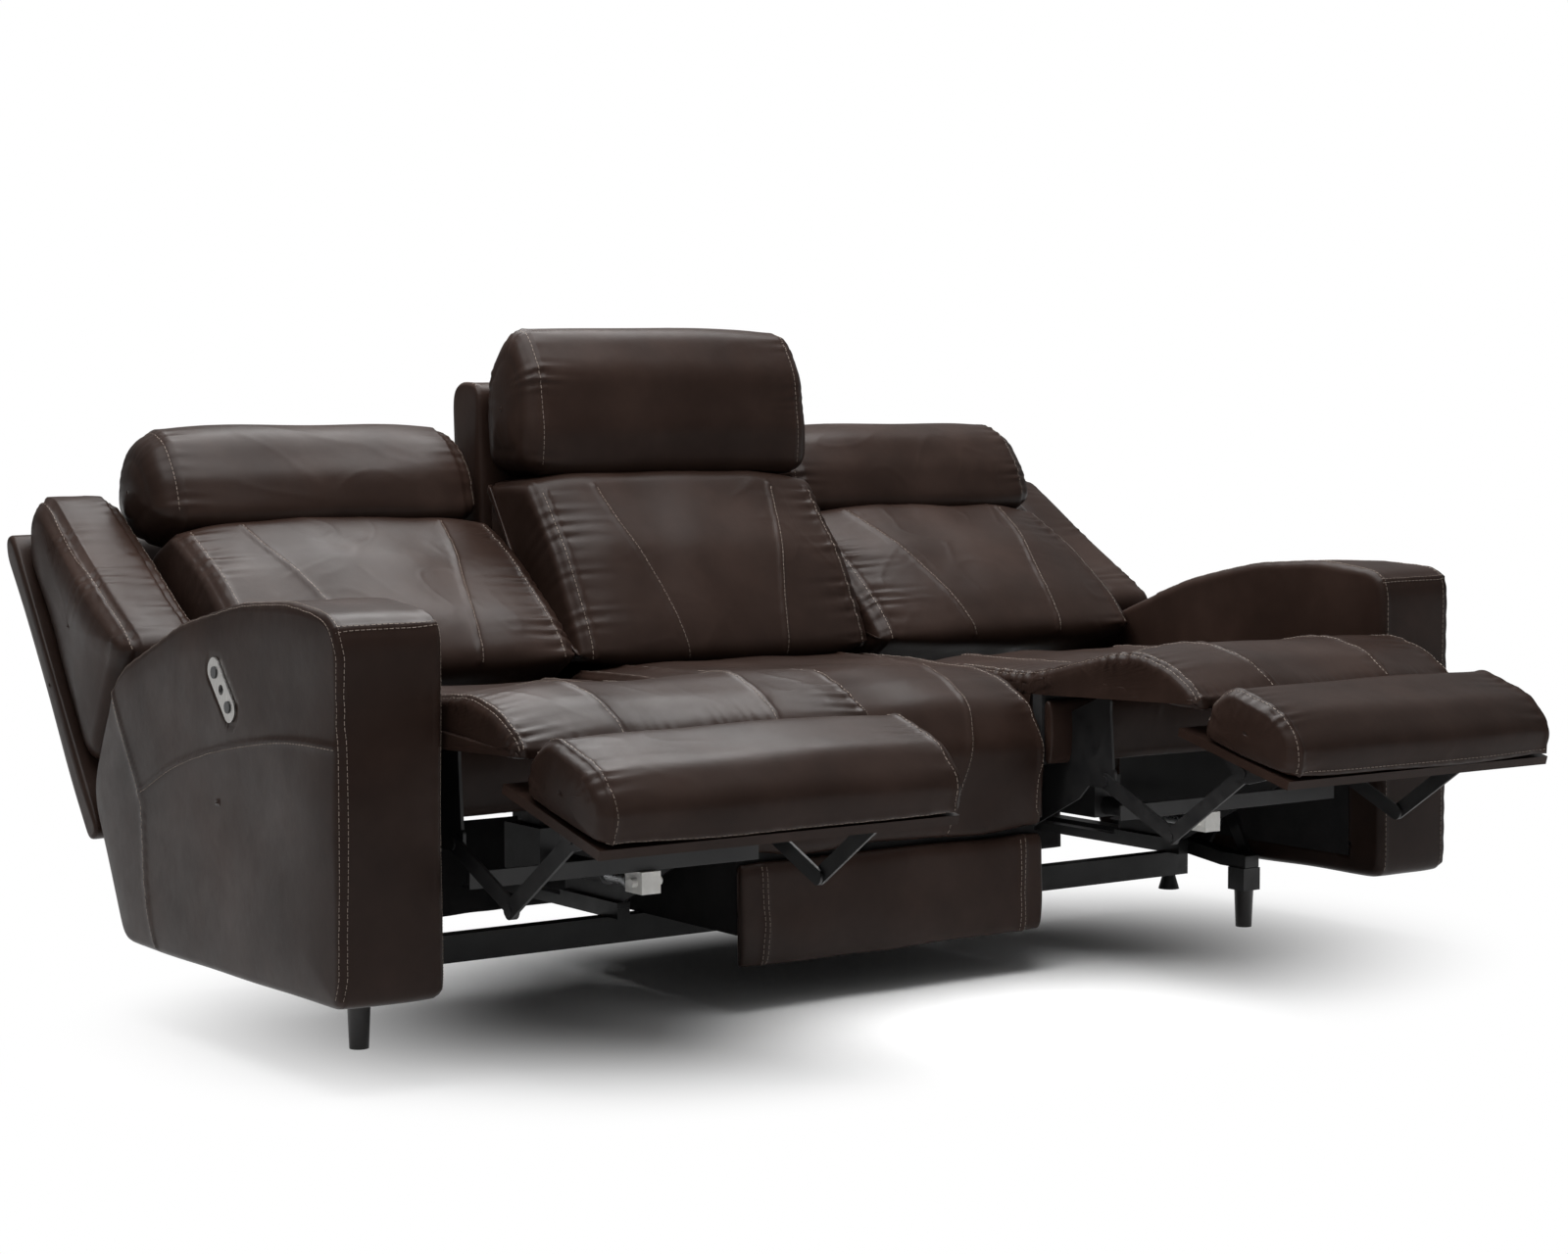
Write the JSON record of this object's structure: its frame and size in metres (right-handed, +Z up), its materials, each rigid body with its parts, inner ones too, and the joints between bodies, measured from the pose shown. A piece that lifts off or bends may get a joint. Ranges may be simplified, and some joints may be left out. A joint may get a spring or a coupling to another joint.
{
  "type": "reclining sofa",
  "caption": "Padded leather sofa with a fixed centre seat, sliding reclining outer seats, folding footrests and switches in the arms.",
  "frame": {"origin": "on the floor, under the middle of the sofa's box with both outer seats reclined", "axes": "+X to the sofa's right as seen from the front, along its width; +Y to the back; +Z up"},
  "size_m": [2.27, 1.6024, 1.11],
  "materials": {
    "leather": "semi-gloss dark espresso leather with taupe stitching",
    "black_cloth": "black dust-cover cloth",
    "black_board": "board under black cloth",
    "plywood": "bare plywood",
    "brushed_metal": "brushed satin metal",
    "black_plastic": "moulded black plastic",
    "dark_leg": "dark stained wood",
    "white_nylon": "white nylon",
    "grey_tube": "satin tube",
    "black_steel": "black semi-gloss paint"
  },
  "bodies": {
    "root": {"arm_board_left": "black_board", "arm_board_right": "black_board", "arm_cover_left": "leather", "arm_cover_right": "leather", "base_side_rails": "black_steel", "centre_back_cushion": "leather", "centre_back_shell": "leather", "centre_front_panel": "leather", "centre_headrest": "leather", "centre_seat_cushion": "leather", "centre_seat_frame": "black_cloth", "cross_rails": "black_steel", "leg_blocks": "black_steel", "legs": "dark_leg", "rail_glides": "black_plastic", "recline_tracks": "black_steel", "switch_housing_left": "black_plastic", "switch_housing_right": "black_plastic", "switch_plate_left": "brushed_metal", "switch_plate_right": "brushed_metal"},
    "left_seat": {"seat_frame_left": "black_board", "seat_side_plates_left": "black_steel", "seat_cushion_left": "leather", "actuator_left": "black_steel"},
    "left_back": {"back_frame_left": "plywood", "back_shell_left": "leather", "back_cushion_left": "leather", "back_pillow_left": "leather", "back_wing_left": "leather"},
    "left_chaise": {"chaise_pad_left": "leather"},
    "left_rear_link": {"rear_links_left": "black_steel"},
    "left_front_link": {"front_links_left": "black_steel"},
    "left_footrest": {"footrest_board_left": "plywood", "footrest_roll_left": "leather", "footrest_brackets_left": "black_steel"},
    "left_drive": {"actuator_tube_left": "grey_tube", "actuator_clevis_left": "white_nylon", "drive_beam_left": "black_steel"},
    "left_button_open": {"button_open_left": "black_plastic"},
    "left_button_close": {"button_close_left": "black_plastic"},
    "right_seat": {"seat_frame_right": "black_board", "seat_side_plates_right": "black_steel", "seat_cushion_right": "leather", "actuator_right": "black_steel"},
    "right_back": {"back_frame_right": "plywood", "back_shell_right": "leather", "back_cushion_right": "leather", "back_pillow_right": "leather", "back_wing_right": "leather"},
    "right_chaise": {"chaise_pad_right": "leather"},
    "right_rear_link": {"rear_links_right": "black_steel"},
    "right_front_link": {"front_links_right": "black_steel"},
    "right_footrest": {"footrest_board_right": "plywood", "footrest_roll_right": "leather", "footrest_brackets_right": "black_steel"},
    "right_drive": {"actuator_tube_right": "grey_tube", "actuator_clevis_right": "white_nylon", "drive_beam_right": "black_steel"},
    "right_button_open": {"button_open_right": "black_plastic"},
    "right_button_close": {"button_close_right": "black_plastic"}
  },
  "joints": [
    {"name": "left_recline", "type": "slide", "parent": "root", "child": "left_seat", "axis": [0, 1, 0], "range_m": [0, 0.185]},
    {"name": "left_back_hinge", "type": "hinge", "parent": "left_seat", "child": "left_back", "pos_m": [0, 0.1855, 0.336], "axis": [1, 0, 0], "range_deg": [0, 27]},
    {"name": "left_footrest", "type": "hinge", "parent": "left_seat", "child": "left_rear_link", "pos_m": [0, -0.32681, 0.33701], "axis": [1, 0, 0], "range_deg": [0, 145.3]},
    {"name": "left_front_link_hinge", "type": "hinge", "parent": "left_rear_link", "child": "left_front_link", "pos_m": [0, -0.4945, 0.262], "axis": [1, 0, 0], "range_deg": [-77, 0]},
    {"name": "left_footrest_tilt", "type": "hinge", "parent": "left_front_link", "child": "left_footrest", "pos_m": [0, -0.66838, 0.38468], "axis": [1, 0, 0], "range_deg": [0, 7.2]},
    {"name": "left_chaise_fold", "type": "hinge", "parent": "left_seat", "child": "left_chaise", "pos_m": [0, -0.3195, 0.47], "axis": [1, 0, 0], "range_deg": [0, 61.2]},
    {"name": "left_drive_slide", "type": "slide", "parent": "left_seat", "child": "left_drive", "axis": [0, 1, 0], "range_m": [0, 0.06]},
    {"name": "left_button_open_press", "type": "slide", "parent": "root", "child": "left_button_open", "axis": [1, 0, 0], "range_m": [0, 0.0015], "stiffness_N_per_m": 400, "springref_m": -0.0005},
    {"name": "left_button_close_press", "type": "slide", "parent": "root", "child": "left_button_close", "axis": [1, 0, 0], "range_m": [0, 0.0015], "stiffness_N_per_m": 400, "springref_m": -0.0005},
    {"name": "right_recline", "type": "slide", "parent": "root", "child": "right_seat", "axis": [0, 1, 0], "range_m": [0, 0.185]},
    {"name": "right_back_hinge", "type": "hinge", "parent": "right_seat", "child": "right_back", "pos_m": [0, 0.1855, 0.336], "axis": [1, 0, 0], "range_deg": [0, 27]},
    {"name": "right_footrest", "type": "hinge", "parent": "right_seat", "child": "right_rear_link", "pos_m": [0, -0.32681, 0.33701], "axis": [1, 0, 0], "range_deg": [0, 145.3]},
    {"name": "right_front_link_hinge", "type": "hinge", "parent": "right_rear_link", "child": "right_front_link", "pos_m": [0, -0.4945, 0.262], "axis": [1, 0, 0], "range_deg": [-77, 0]},
    {"name": "right_footrest_tilt", "type": "hinge", "parent": "right_front_link", "child": "right_footrest", "pos_m": [0, -0.66838, 0.38468], "axis": [1, 0, 0], "range_deg": [0, 7.2]},
    {"name": "right_chaise_fold", "type": "hinge", "parent": "right_seat", "child": "right_chaise", "pos_m": [0, -0.3195, 0.47], "axis": [1, 0, 0], "range_deg": [0, 61.2]},
    {"name": "right_drive_slide", "type": "slide", "parent": "right_seat", "child": "right_drive", "axis": [0, 1, 0], "range_m": [0, 0.06]},
    {"name": "right_button_open_press", "type": "slide", "parent": "root", "child": "right_button_open", "axis": [-1, 0, 0], "range_m": [0, 0.0015], "stiffness_N_per_m": 400, "springref_m": -0.0005},
    {"name": "right_button_close_press", "type": "slide", "parent": "root", "child": "right_button_close", "axis": [-1, 0, 0], "range_m": [0, 0.0015], "stiffness_N_per_m": 400, "springref_m": -0.0005}
  ],
  "couplings": [
    {"joint": "left_back_hinge", "follows": "left_recline", "rad_per_m": 2.5472},
    {"joint": "left_front_link_hinge", "follows": "left_footrest", "ratio": -0.52994},
    {"joint": "left_footrest_tilt", "follows": "left_footrest", "ratio": 0.049552},
    {"joint": "left_chaise_fold", "follows": "left_footrest", "ratio": 0.4212},
    {"joint": "left_drive_slide", "follows": "left_footrest", "m_per_rad": 0.023659},
    {"joint": "right_back_hinge", "follows": "right_recline", "rad_per_m": 2.5472},
    {"joint": "right_front_link_hinge", "follows": "right_footrest", "ratio": -0.52994},
    {"joint": "right_footrest_tilt", "follows": "right_footrest", "ratio": 0.049552},
    {"joint": "right_chaise_fold", "follows": "right_footrest", "ratio": 0.4212},
    {"joint": "right_drive_slide", "follows": "right_footrest", "m_per_rad": 0.023659}
  ]
}
